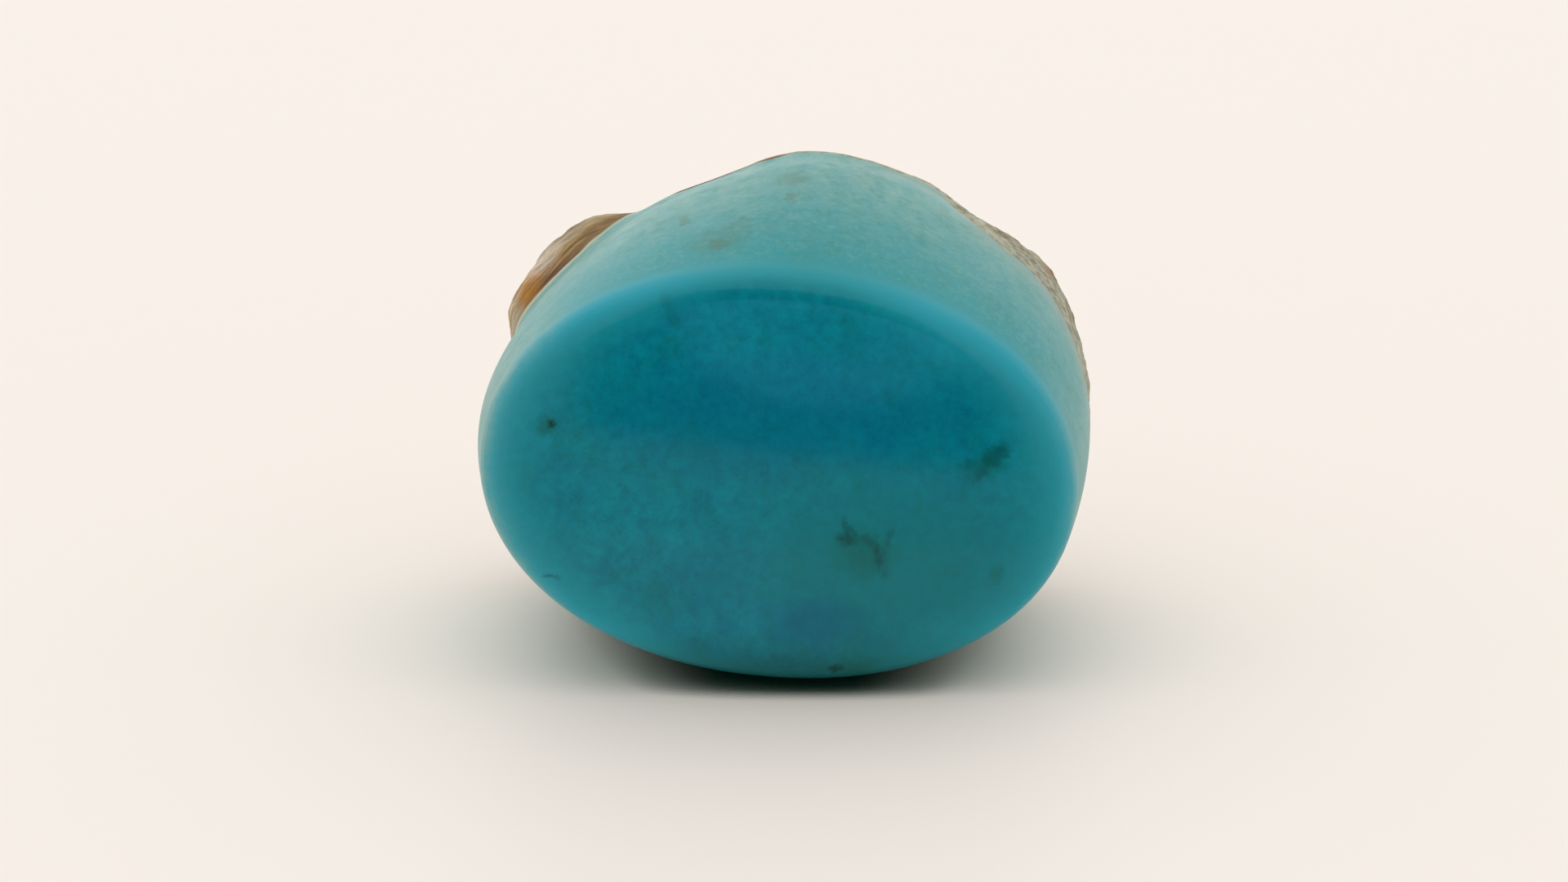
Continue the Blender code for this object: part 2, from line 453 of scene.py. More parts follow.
dome_out = np.array([0, -math.cos(DOME_LEAN), math.sin(DOME_LEAN)])
behind_dome = -(points - np.array(DOME_MIDDLE) / MM) @ dome_out
print("the stone goes", round(float(behind_dome.max()), 1), "mm back from the dome's plane")

# %% How chalky each point is, and how much sheen is painted on the flanks

CHALK_STARTS = (0.3, 9.0)  # mm behind the dome: where the turquoise starts to pale and where it is palest
# on the flanks the pale is partly chalk and partly painted sheen, more on the left, where more light falls
LEFT_FLANK = (7.5, 11.5)  # mm to the left, over which the sides turn pale from the rim on
RIGHT_FLANK = (9.0, 14.0)
FLANK_RIM = (-0.25, 0.5)  # mm behind the dome, over which they do


def eased(values, low, high):
    """A soft step from 0 at the low value to 1 at the high one."""
    share = np.clip((values - low) / (high - low), 0, 1)
    return share * share * (3 - 2 * share)


# the flanks: partly chalk, partly painted sheen
left = eased(-points[:, 0], *LEFT_FLANK)
right = eased(points[:, 0], *RIGHT_FLANK)
flank_chalk_and_sheen = (left + right) * eased(behind_dome, *FLANK_RIM)
chalk_and_sheen = np.maximum(eased(behind_dome, *CHALK_STARTS), flank_chalk_and_sheen)
print("points that are more chalky than not:", int((chalk_and_sheen > 0.5).sum()))

# %% How much light is painted on each point at the rim

RIM_IN_THE_MIDDLE = (-0.20, 0.34)  # mm behind the dome's plane; its middle is at -0.8
RIM_AT_THE_FLANKS = (-0.38, 0.16)
FLANKS = (1.0, 6.5)  # mm to either side, over which the rim's light sets in
RIM_LEAST_LIGHT = 0.35
RIM_FADES = (0.3, 1.4)
PAST_RIM = (0.5, 2.0)  # mm, over which the side's mottling sets in

on_flank = eased(np.abs(points[:, 0]), *FLANKS)
starts = np.interp(on_flank, (0, 1), (RIM_IN_THE_MIDDLE[0], RIM_AT_THE_FLANKS[0]))
full = np.interp(on_flank, (0, 1), (RIM_IN_THE_MIDDLE[1], RIM_AT_THE_FLANKS[1]))
side = eased(behind_dome, starts, full)
# painted light: how much the rim is lightened to a brighter, purer blue
painted_rim_light = side * (1 - eased(behind_dome, *RIM_FADES)) * np.interp(on_flank, (0, 1), (RIM_LEAST_LIGHT, 1))
past_rim = eased(behind_dome, *PAST_RIM)
print("points on the ground sides:", int(((side > 0.5) & (past_edge < 0)).sum()))

# %% Store the measures on the mesh


def store(name, values):
    """Keeps one number for each point of the stone, for its material to read."""
    attribute = stone.data.attributes.new(name, "FLOAT", "POINT")
    attribute.data.foreach_set("value", values.astype(np.float32))


store("past_rind_edge", past_edge)
store("behind_dome", behind_dome)
store("ground_side", side)
store("past_rim", past_rim)
store("painted_rim_light", painted_rim_light)
store("chalk_and_sheen", chalk_and_sheen)
print("measures:", [a.name for a in stone.data.attributes if a.data_type == "FLOAT"])

# %% [markdown]
# ## The relief of the rind
#
# Limonite rind is rough: it has rounded lumps of about a millimetre with finer grit between them, and
# behind, where nothing ever touched it, larger knobs and hollows. Displace modifiers raise it, each with a
# procedural texture of one size, and a vertex group for each keeps it off the ground sides and fades it in
# past the rind's edge. Sculpting would give the same forms, but not from a few numbers.

# %% Raise the rind

RELIEF = {
    # texture, size of the lumps and height in mm, and how many mm past the edge it starts and is full
    "rind_lumps": ("VORONOI", 1.5, 0.16, 0.0, 1.3),
    "rind_clouds": ("CLOUDS", 0.7, 0.16, 0.0, 1.3),
    "rind_knobs": ("VORONOI", 2.6, 0.60, 3.2, 6.0),
    "rind_hollows": ("CLOUDS", 1.6, 0.70, 3.2, 6.0),
    "rind_grit": ("CLOUDS", 0.28, 0.09, 0.0, 1.3),
}
ABOVE_TABLE = (0.0, 0.5)  # mm over which the relief fades in from the flat that the stone stands on
MIDDLE_GREY = 0.5  # the texture's value that moves nothing

select_only(stone)
for name, (kind, size, height, start, full) in RELIEF.items():
    weights = eased(past_edge, start, full) * eased(points[:, 2], *ABOVE_TABLE)
    group = stone.vertex_groups.new(name=name)
    for index in np.flatnonzero(weights > 0):
        group.add([int(index)], float(weights[index]), "REPLACE")
    texture = bpy.data.textures.new(name, kind)
    texture.noise_scale = size * MM
    raise_it = stone.modifiers.new(name, "DISPLACE")
    raise_it.texture = texture
    raise_it.texture_coords = "LOCAL"
    raise_it.vertex_group = name
    raise_it.mid_level = MIDDLE_GREY
    raise_it.strength = height * MM
    bpy.ops.object.modifier_apply(modifier=name)
print(len(RELIEF), "layers of relief")

# %% Measure the relief

WELL_INTO_RIND = 1.0  # mm past its edge

moved = per_point(stone.data.vertices, "co") / MM - points
heights = (moved * per_point(stone.data.vertex_normals, "vector")).sum(axis=1)
store("rind_height", heights)
spread = np.percentile(heights[past_edge > WELL_INTO_RIND], (2, 50, 98))
print("relief in mm, low, middle and high:", spread.round(2))

# %% [markdown]
# ## The turquoise
#
# Turquoise is a phosphate of copper and aluminium. It is opaque and waxy, and its colour drifts between
# blue and green over a few millimetres, with finer clouds inside. Ground and not polished it looks paler,
# because the rough surface scatters white light, and towards the rind it is weathered and chalky. On the
# flanks that paleness is partly painted sheen. At the dome's rim light comes out that went in behind it,
# and the rim is also painted a brighter, purer blue for that light. Each of these is one layer of noise
# or one measured number that mixes another colour in. A photograph projected on the stone would carry its
# shadows with it.

# %% The clouds in the turquoise

CLOUD_NOISE = {"Detail": 4.0, "Roughness": 0.65}


def with_clouds(tree, colour, in_mm, clouds, where=1.0):
    """The colour with the listed layers of soft patches on it, as far as `where` lets them."""
    for size, start, full, patch, most in clouds:
        share = add_node(
            tree, "ShaderNodeTexNoise", {"Vector": in_mm, "Scale": 1 / size, **CLOUD_NOISE}, give="Fac"
        )
        share = add_node(
            tree,
            "ShaderNodeMapRange",
            {"Value": share, **ends("From", (start, full)), "To Max": most},
            interpolation_type="SMOOTHSTEP",
        )
        share = add_node(tree, "ShaderNodeMath", {0: share, 1: where}, operation="MULTIPLY")
        colour = add_node(tree, "ShaderNodeMix", {0: share, 6: colour, 7: linear(patch)}, **COLOUR_MIX)
    return colour


BODY_BLUE = "#00798e"
BODY_CLOUDS = [
    # size of the patches in mm, where in the noise they start and are full, their colour and its share
    (5.0, 0.35, 0.65, "#038088", 0.5),
    (1.1, 0.30, 0.70, "#038593", 0.9),
    (2.4, 0.52, 0.72, "#006a88", 0.35),
    (1.6, 0.52, 0.68, "#02786e", 0.35),
]
print("turquoise: blue", BODY_BLUE, "and", len(BODY_CLOUDS), "layers of clouds")

# %% The grain of the turquoise

NOISE_SPAN = (0.3, 0.7)  # nearly all of a Noise texture's values lie between these
GRAIN_NOISE = {"Scale": 1 / 0.42, "Detail": 6.0, "Roughness": 0.75}  # grains of 0.42 mm
GRAIN_SHADES = (0.79, 1.21)


def turquoise_colour(tree, in_mm):
    """Opaque waxy blue that drifts to green, with clouds about a millimetre across and a fine grain."""
    colour = with_clouds(tree, linear(BODY_BLUE), in_mm, BODY_CLOUDS)
    grain = add_node(tree, "ShaderNodeTexNoise", {"Vector": in_mm, **GRAIN_NOISE}, give="Fac")
    shade = add_node(
        tree, "ShaderNodeMapRange", {"Value": grain, **ends("From", NOISE_SPAN), **ends("To", GRAIN_SHADES)}
    )
    return add_node(tree, "ShaderNodeVectorMath", {0: colour, 3: shade}, operation="SCALE")


print("the grain is from", GRAIN_SHADES[0], "to", GRAIN_SHADES[1], "times as bright as the clouds")

# %% The ground sides and the light painted at the rim

GROUND_COLOURS = {
    # the measure that says where, and the colour there
    "ground_side": "#1a9498",
    "painted_rim_light": "#24a1b3",
}
GROUND_SHARE = 0.85


def with_ground_colours(tree, colour):
    """Ground turquoise: paler than the polished dome on the sides, and painted a brighter, purer blue at the
    rim for its light.
    """
    for measure, ground in GROUND_COLOURS.items():
        share = add_node(tree, "ShaderNodeAttribute", give="Fac", attribute_name=measure)
        share = add_node(tree, "ShaderNodeMath", {0: share, 1: GROUND_SHARE}, operation="MULTIPLY")
        colour = add_node(tree, "ShaderNodeMix", {0: share, 6: colour, 7: linear(ground)}, **COLOUR_MIX)
    return colour


print("sides", GROUND_COLOURS["ground_side"], "and rim", GROUND_COLOURS["painted_rim_light"])

# %% The chalk and the mottling of the sides

CHALK_AND_SHEEN_PALE = "#8caea0"
CHALK_NOISE = {"Scale": 1 / 0.9, "Detail": 6.0, "Roughness": 0.72}  # mottled over 0.9 mm
CHALK_SHARES = (0.208, 0.832)  # the least and the most of it, where the measure is 1
SIDE_CLOUDS = [
    # size of the patches in mm, where in the noise they start and are full, their colour and its share
    (1.7, 0.50, 0.75, "#4a8474", 0.40),
    (0.8, 0.48, 0.70, "#2b8a80", 0.55),
    (0.28, 0.40, 0.80, "#8fbaa6", 0.22),
]


def with_chalk(tree, colour, in_mm):
    """Weathered turquoise: chalky and mottled, with painted sheen on the flanks, and green and pale clouds
    past the rim.
    """
    chalk_and_sheen = add_node(tree, "ShaderNodeAttribute", give="Fac", attribute_name="chalk_and_sheen")
    mottle = add_node(tree, "ShaderNodeTexNoise", {"Vector": in_mm, **CHALK_NOISE}, give="Fac")
    share = add_node(
        tree, "ShaderNodeMapRange", {"Value": mottle, **ends("From", NOISE_SPAN), **ends("To", CHALK_SHARES)}
    )
    share = add_node(tree, "ShaderNodeMath", {0: chalk_and_sheen, 1: share}, operation="MULTIPLY")
    colour = add_node(tree, "ShaderNodeMix", {0: share, 6: colour, 7: linear(CHALK_AND_SHEEN_PALE)}, **COLOUR_MIX)

    on_side = add_node(tree, "ShaderNodeAttribute", give="Fac", attribute_name="past_rim")
    return with_clouds(tree, colour, in_mm, SIDE_CLOUDS, on_side)


print("chalk_and_sheen", CHALK_AND_SHEEN_PALE, "and", len(SIDE_CLOUDS), "layers of clouds on the sides")

# %% The painted shade at the foot

FOOT_SHADE_GREEN = "#0a4a44"
FOOT_HEIGHTS = (0.4, 3.0)  # mm above the table
FOOT_SHARE = 0.75


def with_painted_foot_shade(tree, colour, in_mm):
    """Painted shade next to the table: the turquoise turns a deep green that fades upwards."""
    height = add_node(tree, "ShaderNodeSeparateXYZ", {0: in_mm}, give="Z")
    foot = add_node(
        tree,
        "ShaderNodeMapRange",
        {"Value": height, **ends("From", FOOT_HEIGHTS), **ends("To", (FOOT_SHARE, 0.0))},
        interpolation_type="SMOOTHSTEP",
    )
    return add_node(tree, "ShaderNodeMix", {0: foot, 6: colour, 7: linear(FOOT_SHADE_GREEN)}, **COLOUR_MIX)


print("the foot's green ends", FOOT_HEIGHTS[1], "mm above the table")

# %% [markdown]
# ## Flecks and stains
#
# Seams of iron oxide run through the stone and show as a few dark flecks, most with a soft olive cloud
# round them. They are where the photograph shows them, so each is one soft oval, listed in millimetres
# from the dome's middle. Noise would give flecks too, but not these. The ovals are pushed about by a fine
# noise first, so that their outlines are ragged, as a mineral's are.

# %% Dark flecks

FLECK_DARK = "#002519"
FLECKS = [
    # right of, above and behind the dome's middle, half length and half width, all in mm;
    # turn in degrees; share of the colour
    (2.70, -2.20, 0.0, 0.52, 0.42, 0, 1.00),
    (2.60, -1.71, 0.0, 0.42, 0.18, 100, 0.55),
    (3.45, -2.35, 0.0, 0.52, 0.22, -28, 0.50),
    (3.96, -2.95, 0.0, 0.70, 0.26, -78, 0.70),
    (4.41, -2.12, 0.0, 0.56, 0.18, 65, 0.40),
    (8.66, 1.13, 0.0, 0.55, 0.34, 20, 0.45),
    (8.34, 0.80, 0.0, 0.50, 0.34, 60, 0.40),
    (8.00, 0.30, 0.0, 0.44, 0.28, 55, 0.28),
    (7.43, 0.60, 0.0, 0.44, 0.24, 5, 0.22),
    (-8.90, 2.25, 0.0, 0.22, 0.16, 0, 0.75),
    (-4.10, 6.40, 0.0, 0.50, 0.34, -60, 0.26),
    (-4.35, 6.92, 0.0, 0.42, 0.24, -60, 0.18),
    (-8.95, -3.86, 0.0, 0.36, 0.09, 0, 0.45),
    (2.25, -7.57, 0.0, 0.24, 0.18, 0, 0.60),
]
print(len(FLECKS), "dark flecks")

# %% Stains and deep clouds, listed in the same way

STAIN_OLIVE = "#04583f"
STAINS = [
    (3.40, -2.90, 0.0, 1.25, 0.95, 0, 0.42),
    (-9.05, 2.16, 0.0, 0.55, 0.42, 20, 0.50),
    (8.60, -3.73, 0.0, 0.30, 0.30, 0, 0.28),
    (-2.60, 1.00, 0.0, 0.60, 0.32, 20, 0.22),
    (0.90, 1.10, 0.0, 0.40, 0.22, 0, 0.20),
    (3.06, -7.44, 0.0, 0.75, 0.35, 0, 0.35),
    (8.10, 0.60, 0.0, 0.95, 0.62, 30, 0.40),
    (-3.30, 1.20, 0.0, 1.30, 0.50, 0, 0.15),
]
SIDE_STAIN = "#47735a"
SIDE_STAINS = [
    # on the side above the dome, where they are fainter
    (-2.36, 9.10, 2.4, 0.45, 0.30, 0, 0.65),
    (-2.50, 9.25, 2.8, 1.10, 0.70, 20, 0.28),
    (-1.72, 9.74, 3.6, 0.75, 0.50, 20, 0.28),
    (-3.69, 9.87, 5.1, 0.25, 0.20, 0, 0.45),
    (0.55, 10.81, 5.3, 0.22, 0.20, 0, 0.50),
    (0.62, 11.44, 6.8, 0.60, 0.40, 0, 0.40),
]
LOWER_GREEN = "#03787a"
GREEN_CLOUDS = [
    # where the blue turns greener
    (4.60, -3.20, 0.0, 5.20, 3.40, 0, 0.60),
]
DEEP_BLUE = "#006080"
DEEP_CLOUDS = [
    # where it is bluer and darker
    (1.50, -5.60, 0.0, 1.90, 0.90, 0, 0.52),
    (-3.50, -4.00, 0.0, 2.20, 1.20, 20, 0.20),
    (0.60, 2.60, 0.0, 6.80, 2.20, 0, 0.38),
]
print(len(STAINS) + len(SIDE_STAINS), "stains,", len(GREEN_CLOUDS) + len(DEEP_CLOUDS), "deep clouds")

# %% Where on the dome a point is

RAGGED_NOISE = {"Scale": 2.2, "Detail": 3.0}  # per mm, so it turns about every half millimetre
RAGGED_MM = 0.7  # how far it pushes
NOISE_MIDDLE = (0.5, 0.5, 0.5)


def on_the_dome(tree, in_mm):
    """Right of, above and out from the dome's middle, in mm, pushed about by a fine noise."""
    turn = (math.radians(90) - DOME_LEAN, 0, 0)
    flat = add_node(
        tree,
        "ShaderNodeMapping",
        {"Vector": in_mm, "Location": tuple(DOME_MIDDLE / MM), "Rotation": turn},
        vector_type="TEXTURE",
    )
    push = add_node(tree, "ShaderNodeTexNoise", {"Vector": in_mm, **RAGGED_NOISE}, give="Color")
    push = add_node(tree, "ShaderNodeVectorMath", {0: push, 1: NOISE_MIDDLE}, operation="SUBTRACT")
    push = add_node(tree, "ShaderNodeVectorMath", {0: push, 3: RAGGED_MM}, operation="SCALE")
    return add_node(tree, "ShaderNodeVectorMath", {0: flat, 1: push}, operation="ADD")


print("outlines wander by up to", RAGGED_MM / 2, "mm")

# %% Soft ovals of colour

SPOT_FADES = (0.4, 1.55)  # shares of an oval's size, over which its colour ends
SPOT_LEAST_DEPTH = 0.8  # mm, its half size towards the inside of the stone


def with_spots(tree, colour, place, spots, spot_colour):
    """The colour with the listed soft ovals of another colour on it."""
    deepest = 0.0
    for right, up, behind, half_length, half_width, turn, share in spots:
        half_depth = max(SPOT_LEAST_DEPTH, half_length)
        near = add_node(
            tree,
            "ShaderNodeMapping",
            {
                "Vector": place,
                "Location": (right, up, -behind),
                "Rotation": (0, 0, math.radians(turn)),
                "Scale": (half_length, half_width, half_depth),
            },
            vector_type="TEXTURE",
        )
        reach = add_node(tree, "ShaderNodeVectorMath", {0: near}, give="Value", operation="LENGTH")
        spot = add_node(
            tree,
            "ShaderNodeMapRange",
            {"Value": reach, **ends("From", SPOT_FADES), **ends("To", (share, 0.0))},
            interpolation_type="SMOOTHSTEP",
        )
        deepest = add_node(tree, "ShaderNodeMath", {0: deepest, 1: spot}, operation="MAXIMUM")
    return add_node(tree, "ShaderNodeMix", {0: deepest, 6: colour, 7: linear(spot_colour)}, **COLOUR_MIX)


print("each oval fades out between", SPOT_FADES[0], "and", SPOT_FADES[1], "of its size")

# %% [markdown]
# ## The rind
#
# The rind is limonite, an iron ore as rusty as it looks, with clay and weathered turquoise in it. On the
# left it folds over in a smooth lip, streaked along its length from dark brown at the crease, partly its
# colour and partly painted shade, to cream and olive outside, with an orange patch. On the right and
# behind it is khaki and rough, with ochre and umber patches, cream grains and a few windows of turquoise,
# and painted shade darkens its hollows and lightens its lumps. The streaks are noise stretched along the
# lip. Wood-like rings would be too regular.

# %% The lip's bands

LIP_REACH = (0.0, 1.9)  # mm past the rind's edge, from the first of the bands to the last
LIP_BANDS = [
    # how far across the lip, and the colour there
    # at the crease: dark brown, partly the rind's colour and partly painted shade
    (0.0, "#5c3c1e"),
    (0.22, "#855a29"),
    (0.36, "#a98549"),
    (0.5, "#ad966c"),
    (0.7, "#c4b297"),
    (0.85, "#b5a48c"),
    (1.0, "#94825f"),
]


def lip_bands(tree, across):
    """The colours across the lip, each running softly into the next."""
    colour = add_node(tree, "ShaderNodeValToRGB", {"Fac": across})
    bands = colour.node.color_ramp
    bands.interpolation = "B_SPLINE"
    for place, band in LIP_BANDS[1:-1]:
        bands.elements.new(place).color = linear(band)
    bands.elements[0].color = linear(LIP_BANDS[0][1])
    bands.elements[-1].color = linear(LIP_BANDS[-1][1])
    return colour


print("the lip has", len(LIP_BANDS), "bands over", LIP_REACH[1], "mm")

# %% The lip's patches

LIP_PATCHES = [
    # middle in mm, radius in mm, colour and its share
    ((-10.5, 4.9, 12.5), 1.3, "#b47b26", 0.9),
    ((-7.9, 5.0, 15.2), 2.6, "#98825a", 0.6),
    ((-11.1, 4.7, 11.2), 1.2, "#b9ad92", 0.9),
    ((-10.1, 5.6, 13.8), 1.5, "#cdbba8", 0.7),
]
PATCH_CORE = 0.2  # the share of its radius up to which a patch is full
STREAKS_IN_PATCHES = 1.8


def with_lip_patches(tree, colour, in_mm, streaks):
    """The lip's colours with rust, olive and cream patches on them, which the streaks break up."""
    for middle, radius, patch, most in LIP_PATCHES:
        away = add_node(
            tree, "ShaderNodeVectorMath", {0: in_mm, 1: middle}, give="Value", operation="DISTANCE"
        )
        share = add_node(
            tree,
            "ShaderNodeMapRange",
            {"Value": away, **ends("From", (PATCH_CORE * radius, radius)), **ends("To", (most, 0.0))},
            interpolation_type="SMOOTHSTEP",
        )
        share = add_node(tree, "ShaderNodeMath", {0: share, 1: streaks}, operation="MULTIPLY")
        share = add_node(
            tree, "ShaderNodeMath", {0: share, 1: STREAKS_IN_PATCHES}, operation="MULTIPLY", use_clamp=True
        )
        colour = add_node(tree, "ShaderNodeMix", {0: share, 6: colour, 7: linear(patch)}, **COLOUR_MIX)
    return colour


print(len(LIP_PATCHES), "patches on the lip")

# %% The lip on the left

STREAK_LENGTH = 3.0  # mm
STREAK_WIDTH = 0.28
STREAK_NOISE = {"Scale": 1.0, "Detail": 5.0}  # the place is stretched first, so one streak is 1 long
STREAK_SHIFT = (-0.6, 0.6)  # mm by which the streaks move the bands
FINE_STREAK_NOISE = {"Scale": 3.5, "Detail": 4.0}
FINE_STREAK_SHADES = (0.62, 1.3)


def lip_colour(tree, in_mm, past_edge):
    """Weathered limonite, smooth and streaked: dark in the crease, partly its colour and partly painted
    shade, rust and ochre across, cream outside.
    """
    stretch = (1 / STREAK_LENGTH, 1 / STREAK_WIDTH, 1 / STREAK_LENGTH)
    along = add_node(tree, "ShaderNodeMapping", {"Vector": in_mm, "Scale": stretch}, vector_type="POINT")
    streaks = add_node(tree, "ShaderNodeTexNoise", {"Vector": along, **STREAK_NOISE}, give="Fac")
    shift = add_node(
        tree, "ShaderNodeMapRange", {"Value": streaks, **ends("From", NOISE_SPAN), **ends("To", STREAK_SHIFT)}
    )
    across = add_node(tree, "ShaderNodeMath", {0: past_edge, 1: shift}, operation="ADD")
    across = add_node(tree, "ShaderNodeMapRange", {"Value": across, **ends("From", LIP_REACH)})
    colour = lip_bands(tree, across)
    colour = with_lip_patches(tree, colour, in_mm, streaks)
    fine = add_node(tree, "ShaderNodeTexNoise", {"Vector": along, **FINE_STREAK_NOISE}, give="Fac")
    shade = add_node(
        tree,
        "ShaderNodeMapRange",
        {"Value": fine, **ends("From", NOISE_SPAN), **ends("To", FINE_STREAK_SHADES)},
    )
    return add_node(tree, "ShaderNodeVectorMath", {0: colour, 3: shade}, operation="SCALE")


print("streaks", STREAK_LENGTH, "mm long and", STREAK_WIDTH, "mm wide")

# %% The rough rind's patches

RIND_KHAKI = "#a9a993"
KHAKI_STARTS = (-1.0, 3.0)  # mm to the right, over which the lip's colours give way to khaki
KHAKI_NOISE = {"Scale": 0.25, "Detail": 6.0}  # per mm, so it turns every 4 mm
KHAKI_RAGGED = (-9.0, 9.0)  # mm by which that line wanders
KHAKI_CLOUDS = [
    # size of the patches in mm, where in the noise they start and are full, their colour and its share
    (0.45, 0.58, 0.38, "#7f7d64", 0.9),
]
BACK_STARTS = (1.6, 3.0)  # mm past the rind's edge
BACK_CLOUDS = [
    (4.5, 0.48, 0.62, "#a0763c", 0.75),
    (2.6, 0.44, 0.62, "#66492b", 0.85),
    (3.4, 0.60, 0.67, "#5f9a92", 0.85),
    (0.7, 0.56, 0.70, "#574225", 0.7),
]
GRAINS_START = (0.4, 1.6)
GRAINS = [
    (0.3, 0.56, 0.74, "#c9bca8", 0.6),
]
# painted shade: the rind darker in its hollows and lighter on its lumps, by their height
HOLLOW_HEIGHTS = (-0.24, 0.08)  # mm, from the bottom of the hollows to the tops of the lumps
HOLLOW_PAINTED_SHADES = (0.55, 1.12)
print("the rind has", len(KHAKI_CLOUDS + BACK_CLOUDS + GRAINS), "layers of patches")

# %% The rough rind


def rind_colour(tree, in_mm, past_edge):
    """Rough limonite and clay: khaki, with ochre and umber patches, cream grains and turquoise windows, and
    painted shade in the hollows.
    """
    lip = lip_colour(tree, in_mm, past_edge)
    right = add_node(tree, "ShaderNodeSeparateXYZ", {0: in_mm}, give="X")
    wander = add_node(tree, "ShaderNodeTexNoise", {"Vector": in_mm, **KHAKI_NOISE}, give="Fac")
    wander = add_node(tree, "ShaderNodeMapRange", {"Value": wander, **ends("To", KHAKI_RAGGED)})
    right = add_node(tree, "ShaderNodeMath", {0: right, 1: wander}, operation="ADD")
    khaki = add_node(
        tree,
        "ShaderNodeMapRange",
        {"Value": right, **ends("From", KHAKI_STARTS)},
        interpolation_type="SMOOTHSTEP",
    )
    colour = add_node(tree, "ShaderNodeMix", {0: khaki, 6: lip, 7: linear(RIND_KHAKI)}, **COLOUR_MIX)
    colour = with_clouds(tree, colour, in_mm, KHAKI_CLOUDS, khaki)
    for clouds, starts in ((BACK_CLOUDS, BACK_STARTS), (GRAINS, GRAINS_START)):
        reached = add_node(tree, "ShaderNodeMapRange", {"Value": past_edge, **ends("From", starts)})
        colour = with_clouds(tree, colour, in_mm, clouds, reached)
    # painted shade and light by the relief's height
    height = add_node(tree, "ShaderNodeAttribute", give="Fac", attribute_name="rind_height")
    shade = add_node(
        tree,
        "ShaderNodeMapRange",
        {"Value": height, **ends("From", HOLLOW_HEIGHTS), **ends("To", HOLLOW_PAINTED_SHADES)},
    )
    return add_node(tree, "ShaderNodeVectorMath", {0: colour, 3: shade}, operation="SCALE")


print("the hollows are", HOLLOW_PAINTED_SHADES[0], "times as bright, the lumps", HOLLOW_PAINTED_SHADES[1], "times")

# %% [markdown]
# ## One finish for the whole stone
#
# Turquoise and rind grew together, so one material holds both. Two materials would meet at the mesh's own
# edges, and here the line between them is ragged, finer than the mesh. The turquoise next to the rind is
# stained: cream along the lip, olive grey on the right. The dome is polished to a clear gloss, the sides
# only to a satin that shows the faint waves of the grinding, and the rind is dull.

# %% The stained seams

SEAMS = [
    # colour; mm past the rind's edge where it starts and is full; mm to the right, and its share at each
    ("#cbbf9c", (-0.30, -0.08), (-8.0, -4.0), (0.75, 0.0)),
    ("#85998f", (-1.80, -0.10), (2.0, 6.0), (0.0, 0.55)),
]


def with_seams(tree, body, right, past):
    """Turquoise stained by the rind next to it: cream along the lip, olive grey on the right."""
    for seam, reach, places, shares in SEAMS:
        near = add_node(
            tree,
            "ShaderNodeMapRange",
            {"Value": past, **ends("From", reach)},
            interpolation_type="SMOOTHSTEP",
        )
        there = add_node(
            tree, "ShaderNodeMapRange", {"Value": right, **ends("From", places), **ends("To", shares)}
        )
        share = add_node(tree, "ShaderNodeMath", {0: near, 1: there}, operation="MULTIPLY")
        body = add_node(tree, "ShaderNodeMix", {0: share, 6: body, 7: linear(seam)}, **COLOUR_MIX)
    return body


print("seams", [seam[0] for seam in SEAMS])

# %% Where turquoise gives way to rind

EDGE_NOISE = {"Scale": 1.25, "Detail": 4.0}  # per mm
EDGE_RAGGED = (-0.35, 0.35)  # mm by which the rind's edge wanders
EDGE_CALM_LEFT = (-5.0, 2.0)  # mm to the right, over which it goes from calm to ragged
CALM_SHARE = 0.2
EDGE_WIDTH = (-0.05, 0.08)  # mm, over which turquoise gives way to rind


def joined_colours(tree, body, rind, in_mm, past_edge):
    """Body up to the rind's ragged edge and rind past it, with stained seams. Also gives the rind's share."""
    right = add_node(tree, "ShaderNodeSeparateXYZ", {0: in_mm}, give="X")
    ragged = add_node(tree, "ShaderNodeTexNoise", {"Vector": in_mm, **EDGE_NOISE}, give="Fac")
    ragged = add_node(tree, "ShaderNodeMapRange", {"Value": ragged, **ends("To", EDGE_RAGGED)})
    share = add_node(
        tree, "ShaderNodeMapRange", {"Value": right, **ends("From", EDGE_CALM_LEFT), "To Min": CALM_SHARE}
    )
    ragged = add_node(tree, "ShaderNodeMath", {0: ragged, 1: share}, operation="MULTIPLY")
    past = add_node(tree, "ShaderNodeMath", {0: past_edge, 1: ragged}, operation="ADD")
    body = with_seams(tree, body, right, past)
    in_rind = add_node(
        tree,
        "ShaderNodeMapRange",
        {"Value": past, **ends("From", EDGE_WIDTH)},
        interpolation_type="SMOOTHSTEP",
    )
    return add_node(tree, "ShaderNodeMix", {0: in_rind, 6: body, 7: rind}, **COLOUR_MIX), in_rind


print("the rind's edge wanders by up to", EDGE_RAGGED[1], "mm")

# %% Polish

DOME_ROUGHNESS = 0.12
SIDE_ROUGHNESS = 0.38
RIND_ROUGHNESS = 0.62
POLISH_ENDS = (-0.10, 0.6)  # mm behind the dome's plane
SMEAR_NOISE = {"Scale": 0.6, "Detail": 3.0}  # per mm
SMEARS = (0.85, 1.15)  # times as rough


